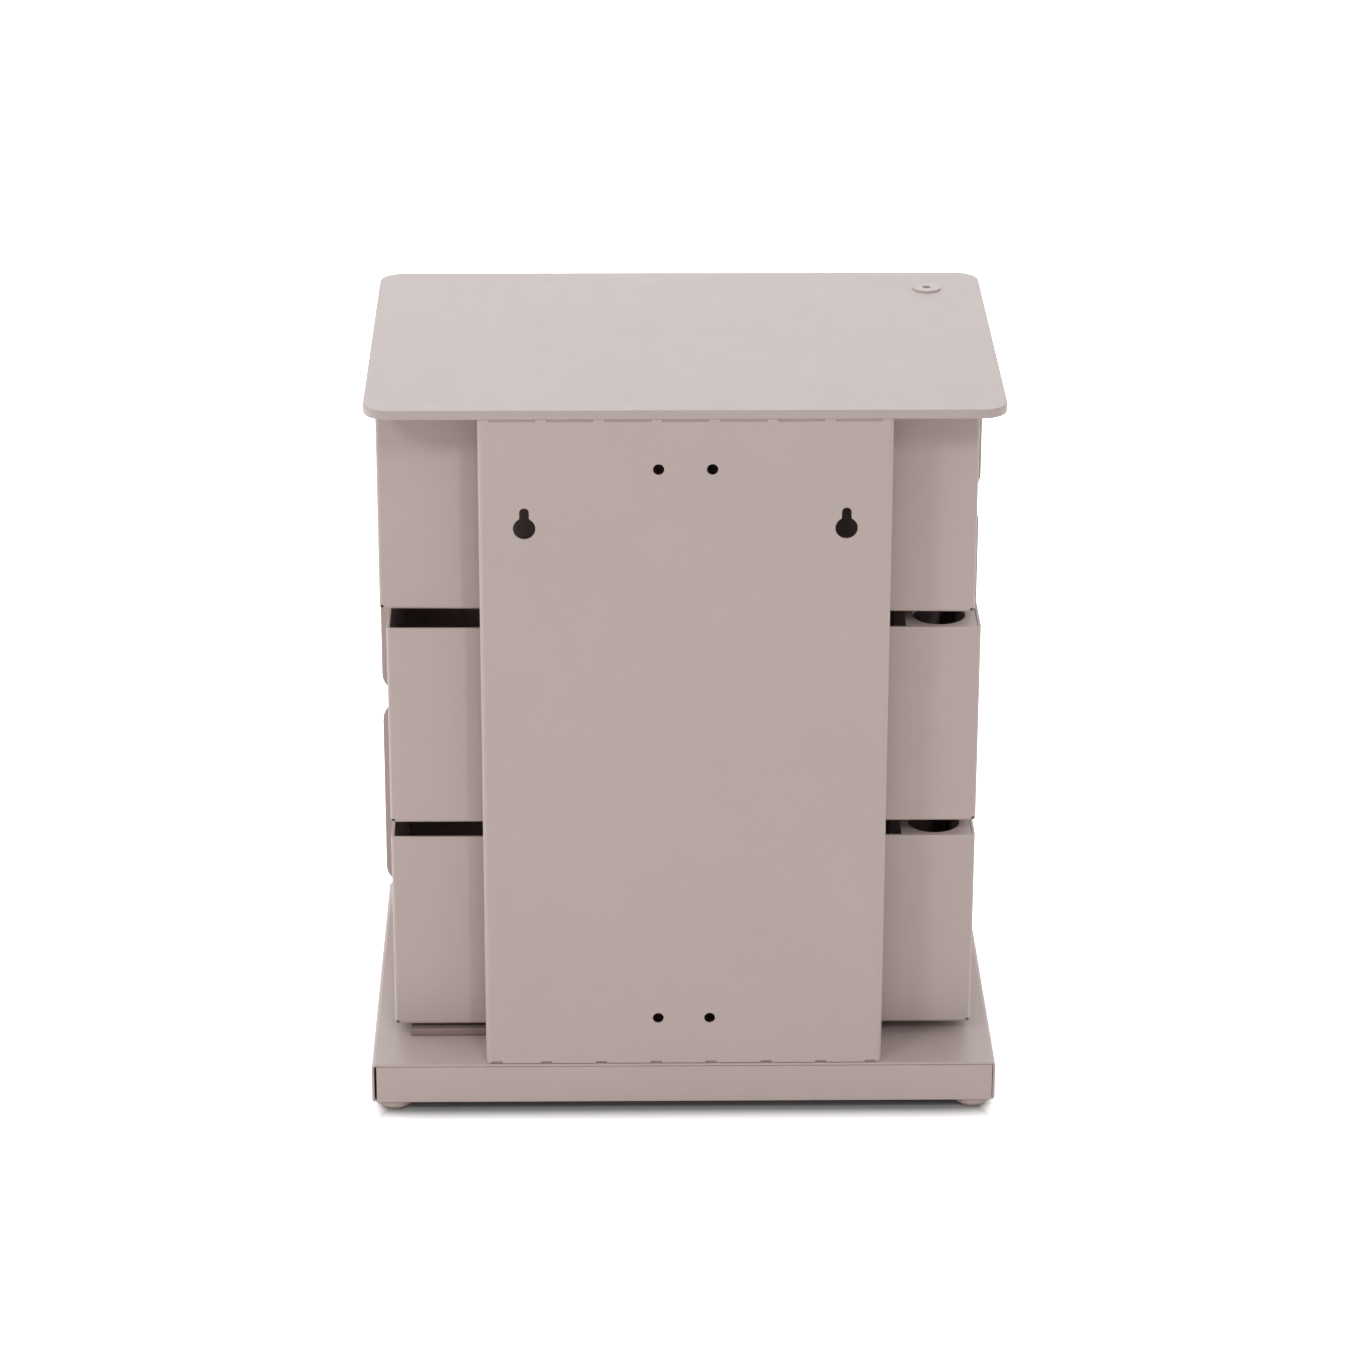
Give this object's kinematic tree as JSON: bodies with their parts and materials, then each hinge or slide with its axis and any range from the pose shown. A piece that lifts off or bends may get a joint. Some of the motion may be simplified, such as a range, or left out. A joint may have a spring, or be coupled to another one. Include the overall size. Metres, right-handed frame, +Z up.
{
  "type": "chest of drawers with swing-out drawers",
  "caption": "Small sheet-steel chest with open drawers that swing out on one vertical rod, between a low base and a flat top, with a folded back column to hang it on a wall.",
  "frame": {"origin": "on the floor under the middle of the base", "axes": "+Z up, -Y out of the drawer fronts, +Y out of the back, +X towards the free ends of the drawers"},
  "size_m": [0.4105, 0.284, 0.4881],
  "materials": {
    "powder_coat": "satin powder coat, dusty pink-grey",
    "zinc_steel": "zinc plated",
    "nylon": "natural nylon",
    "rubber": "black rubber",
    "foot_plastic": "body-coloured glide"
  },
  "bodies": {
    "frame": {"back_column": "powder_coat", "base_rear_panel": "powder_coat", "base_tray": "powder_coat", "drawer_rest": "powder_coat", "foot_front_left": "foot_plastic", "foot_front_right": "foot_plastic", "foot_rear_left": "foot_plastic", "foot_rear_right": "foot_plastic", "pivot_base_bolt": "zinc_steel", "pivot_base_washer": "zinc_steel", "pivot_cap_bolt": "powder_coat", "pivot_rod": "zinc_steel", "spacer_bottom": "nylon", "spacer_lower": "nylon", "spacer_top": "nylon", "spacer_upper": "nylon", "top_plate": "powder_coat"},
    "upper_drawer": {"upper_drawer_bottom_bush": "nylon", "upper_drawer_bumper": "rubber", "upper_drawer_front": "powder_coat", "upper_drawer_front_gusset": "powder_coat", "upper_drawer_nut_1": "zinc_steel", "upper_drawer_nut_2": "zinc_steel", "upper_drawer_nut_3": "zinc_steel", "upper_drawer_nut_4": "zinc_steel", "upper_drawer_pivot_sleeve": "powder_coat", "upper_drawer_rear_gusset": "powder_coat", "upper_drawer_top_bush": "nylon", "upper_drawer_tray": "powder_coat"},
    "middle_drawer": {"middle_drawer_bottom_bush": "nylon", "middle_drawer_bumper": "rubber", "middle_drawer_front": "powder_coat", "middle_drawer_front_gusset": "powder_coat", "middle_drawer_nut_1": "zinc_steel", "middle_drawer_nut_2": "zinc_steel", "middle_drawer_nut_3": "zinc_steel", "middle_drawer_nut_4": "zinc_steel", "middle_drawer_pivot_sleeve": "powder_coat", "middle_drawer_rear_gusset": "powder_coat", "middle_drawer_top_bush": "nylon", "middle_drawer_tray": "powder_coat"},
    "lower_drawer": {"lower_drawer_bottom_bush": "nylon", "lower_drawer_bumper": "rubber", "lower_drawer_front": "powder_coat", "lower_drawer_front_gusset": "powder_coat", "lower_drawer_nut_1": "zinc_steel", "lower_drawer_nut_2": "zinc_steel", "lower_drawer_nut_3": "zinc_steel", "lower_drawer_nut_4": "zinc_steel", "lower_drawer_pivot_sleeve": "powder_coat", "lower_drawer_rear_gusset": "powder_coat", "lower_drawer_top_bush": "nylon", "lower_drawer_tray": "powder_coat"}
  },
  "joints": [
    {"name": "upper_drawer_swing", "type": "hinge", "parent": "frame", "child": "upper_drawer", "pos_m": [-0.164, -0.1021, 0.4035], "axis": [0, 0, -1], "range_deg": [-1.3, 178.7]},
    {"name": "middle_drawer_swing", "type": "hinge", "parent": "frame", "child": "middle_drawer", "pos_m": [-0.164, -0.1021, 0.2575], "axis": [0, 0, -1], "range_deg": [0, 180]},
    {"name": "lower_drawer_swing", "type": "hinge", "parent": "frame", "child": "lower_drawer", "pos_m": [-0.164, -0.1021, 0.1115], "axis": [0, 0, -1], "range_deg": [0, 180]}
  ]
}
